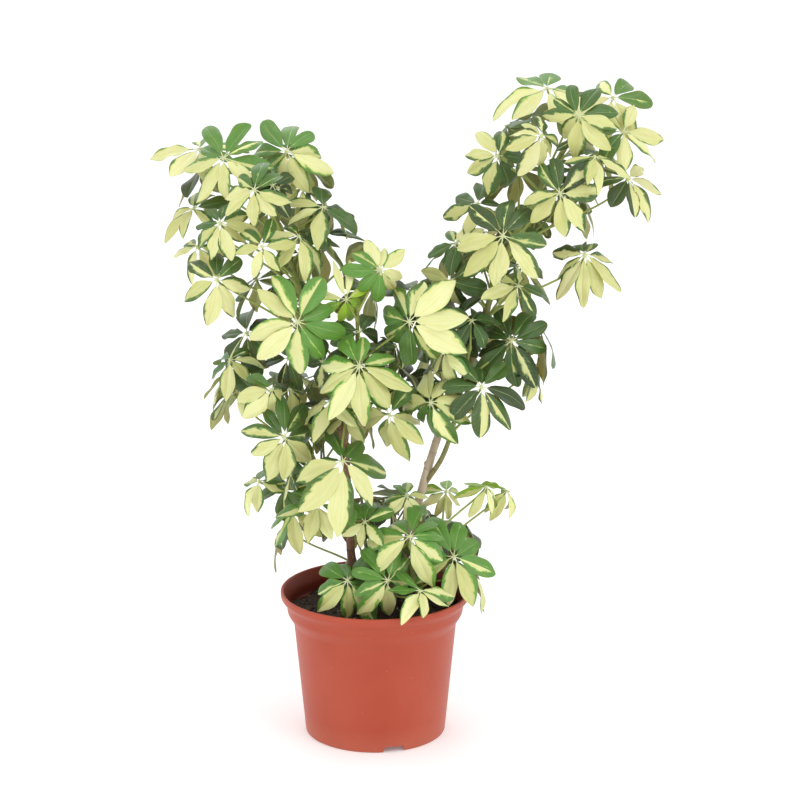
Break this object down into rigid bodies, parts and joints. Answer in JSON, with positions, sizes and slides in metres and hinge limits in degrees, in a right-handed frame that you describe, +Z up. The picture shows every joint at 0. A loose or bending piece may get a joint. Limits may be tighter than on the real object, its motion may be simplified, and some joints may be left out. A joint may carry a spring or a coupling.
{
  "type": "potted umbrella plant",
  "caption": "Variegated dwarf umbrella tree with cream and green whorled leaves on woody canes, standing in a terracotta-coloured plastic nursery pot.",
  "frame": {"origin": "on the floor, under the middle of the box round the whole plant and pot; the pot stands 38 mm to the left of it and 9 mm in front of it", "axes": "+Z up, -Y towards the front of the plant, +X towards the taller crown on the right"},
  "size_m": [0.6322, 0.289, 0.8255],
  "materials": {
    "pot_plastic": "satin",
    "soil": "matte",
    "bark": "matte",
    "foliage": "satin"
  },
  "bodies": {
    "root": {"pot": "pot_plastic", "soil": "soil", "cane_left": "bark", "cane_right": "bark", "left_crown": "foliage", "left_side": "foliage", "centre": "foliage", "right_crown": "foliage", "right_side": "foliage", "low_front": "foliage", "low_right": "foliage", "low_back": "foliage"}
  },
  "joints": []
}
